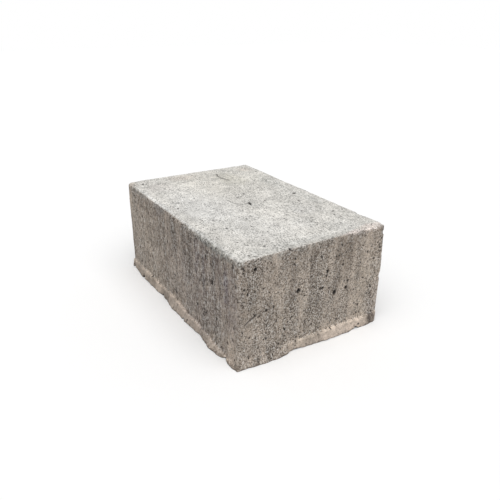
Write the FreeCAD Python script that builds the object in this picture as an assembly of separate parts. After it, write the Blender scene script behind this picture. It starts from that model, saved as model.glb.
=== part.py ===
"""Concrete padstone: one solid block of cast concrete that spreads a beam's load into a wall.

Frame, in millimetres: the origin is at the middle of the underside, +X runs along the length,
+Y across the width and +Z up.
"""
import FreeCAD, Part
import os

# --- driving dimensions -------------------------------------------------------------------
LENGTH = 330.0                # along X: one and a half bricks
WIDTH = 215.0                 # along Y: one brick
HEIGHT = 140.0                # along Z: two brick courses

# --- arrises ------------------------------------------------------------------------------
UPRIGHT_ARRIS_RADIUS = 5.0    # the four upright edges
TOP_ARRIS_RADIUS = 1.5        # the crisp top edges
WORN_ARRIS_RADIUS = 5.0       # the top edge of the -Y face, worn round

# --- casting lip: the mortar that squeezed out over the mould's rim, round the foot -----------
LIP_ROOT = 12.0               # how far the lip's solid reaches into the block, to fuse with it
LIP_END = 3.0                 # how far each run of lip carries on past its corner of the block

# How far each run of lip stands out, and how high its top ledge is, at even steps along a side.
# The four runs go round the block anticlockwise, seen from above, and start at the -Y side.
FRONT_STANDS_OUT = [3.5, 4.5, 6.0, 4.8, 3.5, 6.5, 6.5, 7.0, 5.5, 9.0, 4.0, 2.5]
FRONT_LEDGE = [13.5, 13.5, 13.5, 13.5, 13.5, 15.5, 12.5, 10.0, 8.5, 5.0, 3.0, 2.5]
RIGHT_STANDS_OUT = [1.5, 3.7, 3.5, 3.5, 1.2, 3.4, 6.0, 5.8, 4.2, 6.0, 3.0]
RIGHT_LEDGE = [2.5, 3.0, 4.0, 8.0, 13.0, 13.0, 13.0, 13.5, 13.0, 13.0, 11.0]
BACK_STANDS_OUT = [4.0, 6.0, 5.0, 7.5, 9.0, 6.5, 4.0, 3.0, 5.5, 6.0, 3.5, 2.0]
BACK_LEDGE = [12.0, 14.0, 15.0, 15.5, 15.0, 14.0, 14.5, 15.0, 15.5, 15.0, 14.5, 15.0]
LEFT_STANDS_OUT = [2.0, 4.0, 3.0, 5.0, 6.0, 4.5, 2.0, 3.5, 5.0, 3.0, 1.5]
LEFT_LEDGE = [15.0, 15.5, 15.0, 14.0, 14.5, 15.0, 14.0, 15.0, 15.5, 15.0, 15.0]

# --- the broken arris at the top of the +X face, towards the +Y corner ------------------------
SPALL_SHOULDERS = [40.0, 58.0, 78.0, 96.0, WIDTH / 2 + 1.0]    # places along Y
SPALL_WIDTHS = [1.0, 6.0, 8.0, 10.0, 12.0]                     # how far it reaches in from the face
SPALL_DEPTHS = [0.4, 1.4, 1.8, 2.4, 2.8]                       # how far it reaches down the face
SPALL_OVERCUT = 2.0           # how far its solid carries on past the block, to cut cleanly

# --- blow holes: air pockets left at the mould's face, as (place along, height, radius) -------
RIGHT_BLOW_HOLES = [(-24.5, 81.0, 2.4), (32.5, 63.0, 2.2), (51.5, 65.0, 1.8), (19.5, 97.0, 1.6),
                    (-85.5, 125.0, 2.2)]
FRONT_BLOW_HOLES = [(-23.0, 94.0, 2.0), (104.0, 89.0, 2.4), (90.0, 116.0, 2.0)]
SUNK = 0.35                   # a blow hole's centre lies this part of its radius inside the face


def turned(shape, degrees):
    """A copy of the shape, turned about the Z axis."""
    copy = shape.copy()
    copy.rotate(FreeCAD.Vector(0, 0, 0), FreeCAD.Vector(0, 0, 1), degrees)
    return copy


def prism(points, direction):
    """The solid that a flat outline sweeps as it moves along a direction."""
    outline = Part.makePolygon([FreeCAD.Vector(*p) for p in points + points[:1]])
    return Part.Face(outline).extrude(FreeCAD.Vector(*direction))


def upright_edges(shape):
    """The straight edges that run from the underside to the top."""
    def is_upright(edge):
        box = edge.BoundBox
        return box.ZLength > HEIGHT / 2 and box.XLength + box.YLength < 0.01
    return [edge for edge in shape.Edges if is_upright(edge)]


def top_edges(shape):
    """The edges round the top face."""
    return [edge for edge in shape.Edges if edge.BoundBox.ZMin > HEIGHT - 0.01]


def worn_arris():
    """What wear took off the top edge of the -Y face: a square bar, less the round that is left."""
    length = LENGTH + 2 * LIP_END
    bar_size = WORN_ARRIS_RADIUS + LIP_END
    start = FreeCAD.Vector(-length / 2, -WIDTH / 2 - LIP_END, HEIGHT - WORN_ARRIS_RADIUS)
    bar = Part.makeBox(length, bar_size, bar_size, start)
    centre = FreeCAD.Vector(-length / 2, -WIDTH / 2 + WORN_ARRIS_RADIUS, HEIGHT - WORN_ARRIS_RADIUS)
    kept = Part.makeCylinder(WORN_ARRIS_RADIUS, length, centre, FreeCAD.Vector(1, 0, 0))
    return bar.cut(kept)


def cast_block():
    """The block itself, with its upright and top edges rounded as they left the mould."""
    corner = FreeCAD.Vector(-LENGTH / 2, -WIDTH / 2, 0)
    block = Part.makeBox(LENGTH, WIDTH, HEIGHT, corner)
    block = block.makeFillet(UPRIGHT_ARRIS_RADIUS, upright_edges(block))
    return block.makeFillet(TOP_ARRIS_RADIUS, top_edges(block))


def lip_run(side, half_depth, stands_out, ledge):
    """One side's run of lip: its plan, cut to the outline that its ledge gives it from in front.

    It is made in front of the -Y face of a side that is `side` long.
    """
    reach = side / 2 + LIP_END
    steps = len(stands_out) - 1
    along = [-reach + 2 * reach * i / steps for i in range(steps + 1)]
    inner = -half_depth + LIP_ROOT
    plan = [(reach, inner, 0), (-reach, inner, 0)]
    plan += [(x, -half_depth - out, 0) for x, out in zip(along, stands_out)]
    front = -half_depth - max(stands_out) - 1
    face = [(reach, front, 0), (-reach, front, 0)]
    face += [(x, front, top) for x, top in zip(along, ledge)]
    tall = prism(plan, (0, 0, max(ledge) + 1))
    deep = prism(face, (0, inner - front, 0))
    return tall.common(deep)


def casting_lip():
    """The four runs of lip, each turned to its own side."""
    return [lip_run(LENGTH, WIDTH / 2, FRONT_STANDS_OUT, FRONT_LEDGE),
            turned(lip_run(WIDTH, LENGTH / 2, RIGHT_STANDS_OUT, RIGHT_LEDGE), 90),
            turned(lip_run(LENGTH, WIDTH / 2, BACK_STANDS_OUT, BACK_LEDGE), 180),
            turned(lip_run(WIDTH, LENGTH / 2, LEFT_STANDS_OUT, LEFT_LEDGE), 270)]


def spall():
    """What broke off the top arris of the +X face: a run of ragged triangles, as one solid."""
    sections = []
    above = HEIGHT + SPALL_OVERCUT
    outside = LENGTH / 2 + SPALL_OVERCUT
    for y, width, depth in zip(SPALL_SHOULDERS, SPALL_WIDTHS, SPALL_DEPTHS):
        corners = [(LENGTH / 2 - width, y, above),
                   (LENGTH / 2 - width, y, HEIGHT),
                   (LENGTH / 2, y, HEIGHT - depth),
                   (outside, y, HEIGHT - depth),
                   (outside, y, above)]
        points = [FreeCAD.Vector(*c) for c in corners + corners[:1]]
        sections.append(Part.makePolygon(points))
    return Part.makeLoft(sections, True, True)


def blow_holes():
    """A ball for each air pocket, with its centre a little inside the face."""
    balls = []
    for y, z, radius in RIGHT_BLOW_HOLES:
        centre = FreeCAD.Vector(LENGTH / 2 - SUNK * radius, y, z)
        balls.append(Part.makeSphere(radius, centre))
    for x, z, radius in FRONT_BLOW_HOLES:
        centre = FreeCAD.Vector(x, -WIDTH / 2 + SUNK * radius, z)
        balls.append(Part.makeSphere(radius, centre))
    return balls


def padstone():
    """The finished block: cast, lipped round the foot, broken at one arris and pitted."""
    solid = cast_block().fuse(casting_lip()).removeSplitter()
    solid = solid.cut([worn_arris(), spall()] + blow_holes())
    return solid.Solids[0]


def save(shape, node):
    """Write one node's STEP file and print what it measures."""
    os.makedirs("parts", exist_ok=True)
    shape.exportStep(os.path.join("parts", node + ".step"))
    box = shape.BoundBox
    print(node, "%.1f x %.1f x %.1f mm" % (box.XLength, box.YLength, box.ZLength),
          "volume %.2f litres" % (shape.Volume / 1e6), "valid", shape.isValid(),
          "faces", len(shape.Faces))


save(padstone(), "padstone")
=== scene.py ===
# %% [markdown]
# # A concrete padstone
#
# A padstone is a block of cast concrete. It is built into a wall under the end of a beam, so
# that the beam's load spreads over several bricks. This one is a brick and a half long, one
# brick wide and two courses high. It was cast upside down in an open mould: the pale, smooth
# face that is now on top lay on the mould's floor, and the mortar that ran over the mould's
# rim set as a ragged lip round what is now the foot.
#
# The lesson goes in small steps: read the frame, make the surface with numpy, wear it, pit it,
# turn it into a mesh, then colour it with shader node groups, and last light it.

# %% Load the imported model, which is the fixed frame
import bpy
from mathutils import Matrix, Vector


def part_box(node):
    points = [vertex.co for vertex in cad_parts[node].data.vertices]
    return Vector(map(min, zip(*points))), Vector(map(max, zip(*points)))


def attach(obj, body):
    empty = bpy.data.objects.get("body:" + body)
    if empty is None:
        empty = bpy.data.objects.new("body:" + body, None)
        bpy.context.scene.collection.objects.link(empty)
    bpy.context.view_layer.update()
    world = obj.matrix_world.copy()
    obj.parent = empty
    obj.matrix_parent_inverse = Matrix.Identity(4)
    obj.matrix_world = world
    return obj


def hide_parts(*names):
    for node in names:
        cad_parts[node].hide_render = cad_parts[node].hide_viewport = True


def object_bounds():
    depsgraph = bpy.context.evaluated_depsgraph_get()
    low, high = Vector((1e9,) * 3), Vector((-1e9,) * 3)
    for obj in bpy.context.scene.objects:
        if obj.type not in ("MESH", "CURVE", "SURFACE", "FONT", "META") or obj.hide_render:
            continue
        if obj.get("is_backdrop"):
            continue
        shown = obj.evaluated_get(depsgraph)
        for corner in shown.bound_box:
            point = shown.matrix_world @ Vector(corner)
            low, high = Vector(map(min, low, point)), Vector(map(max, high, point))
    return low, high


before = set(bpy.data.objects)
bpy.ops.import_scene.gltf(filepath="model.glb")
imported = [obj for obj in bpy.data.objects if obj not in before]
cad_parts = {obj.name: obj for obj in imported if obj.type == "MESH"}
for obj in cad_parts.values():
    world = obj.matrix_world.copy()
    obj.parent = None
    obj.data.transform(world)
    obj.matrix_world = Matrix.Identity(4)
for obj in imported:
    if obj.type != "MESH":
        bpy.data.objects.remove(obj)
cad_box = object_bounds()

# %% The other modules, and where the block lies
import math

import bpy
import numpy as np
from mathutils import Matrix

MM = 0.001                                   # a millimetre, in Blender's metres
LIP_REACH = np.array([6.0, 9.0])             # the lip's furthest reach past the X and Y faces
high = np.array(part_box("padstone")[1]) / MM
HALF = np.array([high[0] - LIP_REACH[0], high[1] - LIP_REACH[1], high[2] / 2])
TOP = high[2]
print("block %.0f x %.0f x %.0f mm, without its lip" % tuple(2 * HALF))

# %% [markdown]
# ## Noise on a lattice
#
# Nothing on cast concrete is quite straight, so nearly every step needs a smooth random
# number that depends only on the place. Blender has noise textures, but they work inside
# materials. For the mesh the same thing is made with numpy: random numbers sit on the corners
# of a grid of cubes, and each point takes a mix of the eight round it. Being a function of the
# place alone, it gives the same block each time, and neighbouring faces agree at their edge.

# %% Smooth noise, worked out for every point at once
LATTICE_VALUES = np.random.default_rng(11).uniform(-1.0, 1.0, 8192)
LATTICE_PRIMES = np.array([73856093, 19349663, 83492791])


def eased(part):
    """An S-curve from 0 to 1: three times the square, less twice the cube."""
    part = np.clip(part, 0.0, 1.0)
    return part * part * (3.0 - 2.0 * part)


def noise(place, cell, seed):
    """Smooth noise from -1 to 1, with bumps about as wide as a cell: the sum of the random
    numbers at a cube's eight corners, each times its nearness along X, Y and Z."""
    at = place / cell
    corner = np.floor(at).astype(np.int64)
    near = eased(at - corner)
    total = np.zeros(len(place))
    for step in np.ndindex(2, 2, 2):
        key = (corner + step) @ LATTICE_PRIMES + 7919 * seed
        share = np.where(step, near, 1.0 - near).prod(axis=1)
        total += share * LATTICE_VALUES[(key ^ (key >> 13)) % len(LATTICE_VALUES)]
    return total


def rough_noise(place, cell, seed, octaves=3):
    """Noise with finer noise on it: each layer has half the cell and half the height."""
    layers = [noise(place, cell / 2**i, seed + i) / 2**i for i in range(octaves)]
    return sum(layers) / 1.6


sample = noise(np.random.default_rng(1).uniform(-99, 99, (2000, 3)), 7.0, 3)
print("noise: mean %.2f, spread %.2f" % (sample.mean(), sample.std()))

# %% [markdown]
# ## The mould's shape: a box as one welded grid
#
# A block could start as Blender's cube, subdivided. Here it is made as six grids of lattice
# points, one for each face, because every point then knows its place on the plain box. The
# grids share their edge points, so the surface is closed: each lattice point gets one number,
# and np.unique keeps one copy of each.

# %% Six grids, welded along their edges
CELL = 0.78                                  # the grid's spacing, mm
CELLS = np.round(2 * HALF / CELL).astype(int)


def face_grid(axis, end):
    """The lattice points of one face of the box, and the quads between them, facing outwards.
    Two parameters run over the face, along the other two axes."""
    first, second = [(1, 2), (2, 0), (0, 1)][axis]
    i, j = np.meshgrid(np.arange(CELLS[first] + 1), np.arange(CELLS[second] + 1), indexing="ij")
    points = np.zeros((i.size, 3), np.int64)
    points[:, first], points[:, second] = i.ravel(), j.ravel()
    points[:, axis] = end * CELLS[axis]
    number = np.arange(i.size).reshape(i.shape)
    ring = [number[:-1, :-1], number[1:, :-1], number[1:, 1:], number[:-1, 1:]]
    quads = np.stack(ring if end else ring[::-1], axis=-1).reshape(-1, 4)
    return points, quads


def box_lattice():
    """The whole box's points, once each, and its quads."""
    points, quads, count = [], [], 0
    for axis in range(3):
        for end in (0, 1):
            face_points, face_quads = face_grid(axis, end)
            points.append(face_points)
            quads.append(face_quads + count)
            count += len(face_points)
    points, quads = np.concatenate(points), np.concatenate(quads)
    stride = np.array([1, CELLS[0] + 1, (CELLS[0] + 1) * (CELLS[1] + 1)])
    first, same = np.unique(points @ stride, return_index=True, return_inverse=True)[1:]
    return points[first], same[quads]


lattice, quads = box_lattice()
plain = (lattice / CELLS * 2 - 1) * HALF + (0, 0, HALF[2])     # places on the plain box, mm
print("points:", len(plain), "quads:", len(quads))

# %% [markdown]
# ## Rounding the arrises
#
# A mason calls a block's edges its arrises. To round a box, each point is first drawn back
# into a smaller box, and then pushed out again by the radius, along the line between the two
# places. On a flat face nothing moves, and along an edge the points land on an arc. The
# radius may change from place to place, so one long top arris can be worn soft at one end.

# %% The rounded block
UPRIGHT_RADIUS = 3.5
TIGHT_RADIUS = 1.4                           # the upright arris between the +X and +Y faces
FOOT_RADIUS = 0.9                            # all round the underside
CRISP_RADIUS = 1.2                           # the top arrises that kept their edge
WORN_RADII = [3.5, 3.0, 3.5, 6.5, 7.0, 6.0]  # the -Y face's top arris, at even steps along +X
SOFT_CORNER = np.array([-HALF[0], -HALF[1], TOP])     # the corner that was knocked round
SOFT_RADIUS = 5.5
SOFT_REACH = 22.0                            # how far from that corner its radius is felt
WIDE_RADIUS = 12.0                           # for a direction that turns slowly at an arris
ARRIS_STRIP = 30.0                           # how far in from an arris its own radius is felt
TOP_STRIP = 25.0                             # the same, down from the top
FOOT_STRIP = 9.0                             # the same, up from the underside
STRIP_EASE = 20.0                            # over how much of a strip the radius changes


def at_steps(values, along, reach):
    """The values, given at even steps from -reach to reach, eased from each to the next."""
    values = np.array(values)
    step = np.clip((along + reach) / (2 * reach), 0, 1) * (len(values) - 1)
    first = np.minimum(step.astype(int), len(values) - 2)
    part = eased(step - first)
    return values[first] * (1 - part) + values[first + 1] * part


x, y, z = plain.T
near_front = eased((-y - HALF[1] + ARRIS_STRIP) / ARRIS_STRIP)
near_top = eased((z - TOP + TOP_STRIP) / STRIP_EASE)
top_radius = CRISP_RADIUS + (at_steps(WORN_RADII, x, HALF[0]) - CRISP_RADIUS) * near_front
near_right = eased((x - HALF[0] + ARRIS_STRIP) / STRIP_EASE)
near_back = eased((y - HALF[1] + ARRIS_STRIP) / STRIP_EASE)
radius = UPRIGHT_RADIUS + (TIGHT_RADIUS - UPRIGHT_RADIUS) * (near_right * near_back)
radius = radius + (top_radius - radius) * near_top
radius = FOOT_RADIUS + (radius - FOOT_RADIUS) * eased(z / FOOT_STRIP)
soft = eased(1.3 - np.linalg.norm(plain - SOFT_CORNER, axis=1) / SOFT_REACH)
radius = radius + (SOFT_RADIUS - radius) * soft


def rounded(place, size):
    """The place and outward direction on a box whose edges have this radius at each point."""
    size = np.reshape(size, (-1, 1))
    middle = np.array([0, 0, HALF[2]])
    inner = middle + np.clip(place - middle, size - HALF, HALF - size)
    outward = place - inner
    outward /= np.linalg.norm(outward, axis=1, keepdims=True)
    return inner + size * outward, outward


shape, outward = rounded(plain, radius)
wide_outward = rounded(plain, np.full(len(plain), WIDE_RADIUS))[1]
print("arris radius from %.1f to %.1f mm" % (radius.min(), radius.max()))

# %% [markdown]
# ## The casting lip
#
# The lip could be a second mesh joined on, but then its crack and its smooth parts would
# need a join. It is the same cast surface, so the block's own points are moved sideways. How
# far depends on three numbers given at even steps along a side: how far the lip stands out at
# the foot, how high its ledge is, and how wide the ledge is. The ledge is almost level, and
# below it the face leans out to the foot. Where the ledge has no width, only the lean is left.

# %% How far the lip stands out, along each side and up it
# Each side's three lists: how far the lip stands out, its ledge's height, its ledge's width.
FRONT_LIP = ([3.5, 3.2, 4.6, 5.8, 6.0, 5.0, 4.8, 5.2, 2.8, 4.4, 6.6, 7.6,
              6.4, 7.4, 7.2, 6.2, 5.2, 7.4, 8.9, 7.6, 3.6, 5.2, 2.4],
             [13.3, 13.3, 13.4, 13.6, 13.8, 14.2, 13.6, 12.8, 13.6, 15.4, 15.8, 15.0,
              12.6, 11.0, 10.0, 9.4, 8.6, 7.0, 5.2, 3.8, 3.0, 2.5, 2.0],
             [3.2, 3.2, 3.0, 2.8, 2.6, 2.8, 3.0, 2.4, 2.0, 0.8, 0.0])
RIGHT_LIP = ([1.6, 2.8, 4.2, 4.8, 5.2, 5.8, 4.6, 1.8, 1.6, 2.8, 3.8,
              4.8, 6.2, 7.0, 5.8, 7.0, 5.2, 6.2, 6.0, 5.6, 0.3],
             [14.0, 14.0, 14.0, 14.0, 14.0, 14.0, 13.0, 12.8, 13.2, 13.2, 13.1,
              13.1, 13.2, 13.5, 13.5, 13.4, 13.2, 12.6, 12.6, 13.5, 16.0],
             [0.0, 0.0, 0.0, 0.0, 0.0, 0.0, 0.0, 1.2, 2.0, 2.4, 2.8,
              3.2, 3.4, 3.4, 3.4, 3.4, 3.4, 3.4, 3.4, 3.8, 3.8])
BACK_LIP = ([0.4, 3.6, 5.0, 7.5, 9.0, 6.5, 4.0, 3.0, 5.5, 6.0, 3.5, 2.0],
            [14.0, 14.0, 15.0, 15.5, 15.0, 14.0, 14.5, 15.0, 15.5, 15.0, 14.5, 15.0],
            [2.6, 2.6])
LEFT_LIP = ([2.0, 4.0, 3.0, 5.0, 6.0, 4.5, 2.0, 3.5, 5.0, 2.2, 0.8],
            [15.0, 15.5, 15.0, 14.0, 14.5, 15.0, 14.0, 15.0, 15.5, 15.0, 15.0],
            [2.4, 2.4])
LIP_END = 3.0                                # how far a side's steps carry on past its corners
LIP_RAGGED = 0.9                             # how uneven the lip's outer edge is
LIP_LEAST = 0.2                              # the least that it stands out
LEDGE_RAGGED = 0.3                           # how uneven the ledge's height is
LEDGE_DROP = 0.6                             # how far the ledge falls from the face to its edge
LEDGE_SHARE = 0.65                           # the most of the lip that the ledge may take up
LEAN_CURVE = 1.15                            # 1 would be a straight lean from ledge to foot
RIM_HIGHLIGHT_REACH = 1.3                              # how far the painted highlight on the ledge's edge reaches, up and down
LIP_EDGE = 12.0                              # the strip by an upright arris that moves both ways


def lip(along, reach, run, seed):
    """How far one side's lip stands out at each point, how much of the point is lip, and how
    near it is to the ledge's edge, where a highlight is painted. The ledge takes up its own
    width at once, and the rest of the lip comes on the way down to the foot."""
    strip = np.stack([along, along * 0, along * 0], 1)
    out = at_steps(run[0], along, reach) + LIP_RAGGED * rough_noise(strip, 7.0, seed)
    out = np.maximum(out, LIP_LEAST)
    ledge = at_steps(run[1], along, reach) + LEDGE_RAGGED * rough_noise(strip, 9.0, seed + 5)
    under = np.clip(1 - z / ledge, 0, 1) ** LEAN_CURVE
    on_lip = eased((ledge - z) / LEDGE_DROP)
    width = np.minimum(at_steps(run[2], along, reach), LEDGE_SHARE * out)
    is_ledge = eased(width / 1.5)
    # the ledge's edge gets a painted highlight, as if it caught the light from above
    rim = eased(1 - np.abs(ledge - z - LEDGE_DROP / 2) / RIM_HIGHLIGHT_REACH)
    return on_lip * width + (out - width) * under, on_lip * is_ledge, rim * is_ledge


def side_weight(place, half):
    """-1 or 1 on the two faces across this axis, easing to 0 a short way in from them."""
    return np.sign(place) * eased((np.abs(place) - half + LIP_EDGE) / LIP_EDGE)


front_out, front_is, front_highlight = lip(x, HALF[0] + LIP_END, FRONT_LIP, 21)
back_out, back_is, back_highlight = lip(-x, HALF[0] + LIP_END, BACK_LIP, 31)
right_out, right_is, right_highlight = lip(y, HALF[1] + LIP_END, RIGHT_LIP, 41)
left_out, left_is, left_highlight = lip(-y, HALF[1] + LIP_END, LEFT_LIP, 51)
across = side_weight(x, HALF[0])
along = side_weight(y, HALF[1])


def both_sides(of_x, of_y):
    """The larger of two numbers, each counted only near its own sides of the block."""
    return np.maximum(np.abs(across) * of_x, np.abs(along) * of_y)


lip_x = across * np.where(x > 0, right_out, left_out)
lip_y = along * np.where(y > 0, back_out, front_out)
is_lip = both_sides(np.where(x > 0, right_is, left_is), np.where(y > 0, back_is, front_is))
# a painted highlight along each lip's ledge edge
rim_highlight = both_sides(np.where(x > 0, right_highlight, left_highlight), np.where(y > 0, back_highlight, front_highlight))
shape = shape + np.stack([lip_x, lip_y, np.zeros(len(plain))], 1)
print("lip: reaches %.1f mm past X and %.1f mm past Y" % (np.abs(lip_x).max(), np.abs(lip_y).max()))

# %% [markdown]
# ## Broken arrises
#
# Concrete arrises never stay whole. A break is close to a small bevel: a flat that reaches so
# far in from each of two faces. A point that lies outside the flat moves straight in until it
# is on it. Nearly all of the arris only loses crumbs, but the top arris of the +X face lost a
# long shallow flake towards the +Y corner, and shows the rougher inside of the concrete there.

# %% Crumbs along every arris, and one long flake
CRUMBS = 0.5                                 # how wide the usual loss is
CRUMBS_RAGGED = 0.9                          # how much that changes from place to place
CHIPS = 2.6                                  # what the larger chips, here and there, add to it
FLAKE_WIDTH = [0.0, 4.0, 8.0, 7.0, 11.0, 13.0, 12.0]     # in from the face, at even steps along +Y
FLAKE_DEPTH = [0.0, 1.0, 1.6, 1.4, 2.4, 2.6, 2.2]        # down the face, at the same steps
FLAKE_START = 36.0                           # where along Y it starts
RUBBLE = 3.0                                 # how uneven its broken face is


def bevel(in_from_one, in_from_other, width, depth):
    """How far outside a flat each point lies: the flat meets one face `width` in from the arris
    and the other face `depth` down from it. Also the flat's slope, as shares of its normal."""
    norm = np.hypot(1 / width, 1 / depth)
    outside = (1 - in_from_one / width - in_from_other / depth) / norm
    return np.clip(outside, 0, None), 1 / width / norm, 1 / depth / norm


gaps = np.stack([HALF[0] - np.abs(x), HALF[1] - np.abs(y), TOP - z, z], 1)
from_arris = np.sort(gaps, axis=1)[:, 1]
larger = eased((noise(plain, 17.0, 71) - 0.3) / 0.6)
crumbs = CRUMBS + CRUMBS_RAGGED * rough_noise(plain, 5.0, 61) + CHIPS * larger
crumbs = crumbs * (1 - eased((25 - z) / 10)) * (1 - 0.6 * near_front)
chipped = np.clip(crumbs - from_arris, 0, None) / math.sqrt(2)
shape -= wide_outward * chipped[:, None]

flake_middle = (FLAKE_START + HALF[1]) / 2
ragged = 1 + 0.5 * rough_noise(plain, 6.0, 81)
flake_reach = HALF[1] - flake_middle
width = np.maximum(at_steps(FLAKE_WIDTH, y - flake_middle, flake_reach) * ragged, 0.01)
depth = np.maximum(at_steps(FLAKE_DEPTH, y - flake_middle, flake_reach) * ragged, 0.01)
flaked, across_x, down_z = bevel(HALF[0] - x, TOP - z, width, depth)
flaked = np.where(y > FLAKE_START, flaked, 0)
rubble = np.where(flaked > 0, RUBBLE * rough_noise(plain, 3.2, 91) * eased(flaked / 0.5), 0)
moved_in = flaked - np.minimum(rubble, flaked)
shape -= np.stack([across_x, x * 0, down_z], 1) * moved_in[:, None]
is_broken = np.maximum(0.5 * eased(chipped / 0.8), eased(flaked / 0.3))
print("chips: %.1f mm deep, flake: %.1f mm deep" % (chipped.max(), moved_in.max()))

# %% [markdown]
# ## Bites
#
# A lump of gravel that fell out of an arris, or a void in the lip, leaves a rounded bite. Each
# is the imprint of a ball: a point inside the ball moves in along its own direction until it
# is on the ball's far side, which is the larger root of a quadratic equation.

# %% The larger bites, each the imprint of a ball
# Each bite: the ball's middle (X, Y, Z) and its radius.
BITES = [(166.5, 109, 129, 4.2), (174, 96, 17, 4.5), (172, 113, -3, 6.0),
         (164, -39, 140, 2.4), (165, 22, 141, 2.2), (167, 71, -1, 4.8),
         (166, 31, 141.5, 2.6), (168, 109, 62, 4.0), (-160, -110, 2, 3.5),
         (-113, -114, 2, 4.0), (-43, -114, 1, 4.5), (-167, 30, 142, 3.0),
         (-166, -52, 142, 3.4), (60, 109, 142, 2.6), (-30, -114, 0, 3.0),
         (30, -115, 0, 3.0), (137, -113, 0, 4.0)]
BITE_WOBBLE = 0.25                           # how far from round a ball is


def bite(place, middle, size):
    """How far each point moves in to reach the far side of an uneven ball."""
    away = place - middle
    along_way = (away * wide_outward).sum(axis=1)
    uneven = size * (1 + BITE_WOBBLE * noise(place, size * 0.8, 17))
    root = along_way**2 - (away**2).sum(axis=1) + uneven**2
    inside = (away**2).sum(axis=1) < uneven**2
    return np.where(inside, along_way + np.sqrt(np.clip(root, 0, None)), 0)


bitten = np.zeros(len(plain))
for *middle, size in BITES:
    deep = bite(shape, np.array(middle), size)
    shape -= wide_outward * deep[:, None]
    bitten = np.maximum(bitten, deep)
is_broken = np.maximum(is_broken, 0.7 * eased(bitten))
print("bites: %d, deepest %.1f mm" % (len(BITES), bitten.max()))

# %% [markdown]
# ## Blow holes and cracks
#
# Air that can't escape the mould leaves blow holes in the faces. Cutting each one with a
# boolean would be slow and brittle. Pressing the surface in with half an egg does the same:
# inside a wobbly rim, a point sinks by the depth times the root of one less its distance
# squared. The larger holes are listed one by one, and many small ones are strewn by a seeded
# draw. A crack is a groove about a bent line.

# %% Holes and cracks, pressed into the faces
# Each hole: place along the face, place across or up it, radius, depth, stretch up the face.
FRONT_HOLES = [(-23, 94, 1.9, 2.4, 1.6), (104.5, 89, 2.2, 2.8, 1.5), (-85.5, 116.5, 1.5, 1.6, 1.0),
               (-41.5, 51, 1.6, 1.6, 1.0), (-132.5, 44, 1.9, 1.6, 1.3), (-133.5, 59, 1.5, 1.3, 1.2),
               (89.5, 116, 2.0, 2.2, 1.8), (159, 107.5, 1.7, 1.5, 1.2), (47, 59.5, 1.4, 1.4, 1.0),
               (-1.5, 25.5, 1.9, 1.8, 1.6), (-3.5, 30.5, 1.4, 1.4, 1.4), (-3, 51.5, 1.5, 1.4, 1.3),
               (114, 43.5, 1.8, 1.4, 1.3), (66.5, 15.5, 1.7, 1.6, 1.0), (139.5, 24, 1.6, 1.4, 1.6),
               (60, 126, 1.6, 1.6, 1.4), (-139.5, 125.5, 1.5, 1.4, 1.2), (-77, 60.5, 1.3, 1.2, 1.5),
               (-19, 114, 1.5, 1.3, 1.3), (-105.5, 75.5, 1.4, 1.2, 1.3), (24, 48.5, 1.4, 1.2, 1.2)]
RIGHT_HOLES = [(-24.5, 82, 3.0, 3.6, 1.0), (32, 64, 2.7, 3.4, 1.2), (50.5, 66, 2.2, 2.8, 1.2),
               (18.5, 97, 1.9, 2.4, 1.3), (17.5, 91, 1.2, 1.4, 2.2), (12, 75.5, 1.9, 2.2, 1.0),
               (-85.5, 126, 2.1, 2.8, 1.0), (52.5, 75, 1.6, 1.8, 1.2), (102, 109.5, 1.4, 1.8, 1.2),
               (43, 99.5, 1.5, 1.8, 1.0), (-79, 65, 1.3, 1.4, 0.8), (-86, 67.5, 1.2, 1.2, 1.2),
               (75, 5.5, 1.6, 1.6, 1.0), (-25, 17.5, 1.2, 1.3, 1.0), (-75, 99, 1.2, 1.1, 1.0),
               (-95.5, 98, 1.2, 1.2, 1.6), (-58.5, 102, 1.1, 1.0, 1.0),
               (-101.5, 125, 1.2, 1.2, 1.0), (74, 33.5, 1.4, 1.2, 1.4), (93, 55.5, 1.3, 1.1, 1.4),
               (-44, 50.5, 1.1, 1.0, 1.0)]
TOP_HOLES = [(8.5, 4.5, 2.6, 2.2, 0.8), (13, 3.5, 2.3, 2.4, 0.9), (6, 84.5, 2.4, 1.9, 1.3),
             (37.5, 70, 2.2, 1.6, 0.8), (94, 83, 1.8, 1.8, 1.0), (70.5, 48.5, 1.8, 1.6, 0.8),
             (76, 45.5, 1.2, 1.1, 0.8), (12.5, 29, 1.8, 1.4, 0.9), (86, -40.5, 1.6, 1.6, 0.9),
             (79.5, 4.5, 1.5, 1.2, 0.8), (84, 10.5, 1.4, 1.1, 0.8), (-135, 32.5, 2.5, 1.8, 0.8),
             (-107.5, 31.5, 2.1, 1.4, 0.8), (-152, -3.5, 2.0, 1.7, 0.9),
             (-124.5, -4, 1.6, 1.2, 0.8), (-88, 1, 1.7, 1.2, 0.8), (-143.5, -91, 1.9, 1.4, 1.2),
             (-18.5, -91, 1.6, 1.5, 0.9), (48, -97.5, 1.5, 1.4, 0.9), (155.5, -88.5, 1.8, 1.8, 0.8),
             (119.5, -81, 1.5, 1.2, 0.7), (127.5, -50.5, 1.2, 1.2, 1.0), (110, 34, 1.3, 1.2, 0.9),
             (92, 40.5, 1.2, 1.1, 0.9), (63.5, -35.5, 1.2, 1.1, 0.9), (131.5, 64.5, 1.4, 1.1, 0.8),
             (-122, -34, 1.6, 1.0, 0.9)]
TOP_CRACKS = [[(-15, -16), (-5, -15), (5, -13), (10, -8), (9, -2), (12, 3)], [(12, 3), (18, 2)],
              [(-135, 33), (-124, 29), (-108, 31), (-98, 35)]]
RIGHT_CRACKS = [[(-99, 59), (-94, 63), (-85, 67)]]
HOLE_WOBBLE = 0.28                           # how far from round a hole's rim is
CRACK_WOBBLE = 0.4                           # how far a crack's edge strays, mm
SMALLEST_HOLE = 0.55                         # the least radius of a strewn hole
USUAL_EXTRA = 0.22                           # how much larger they are, on the whole


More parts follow.
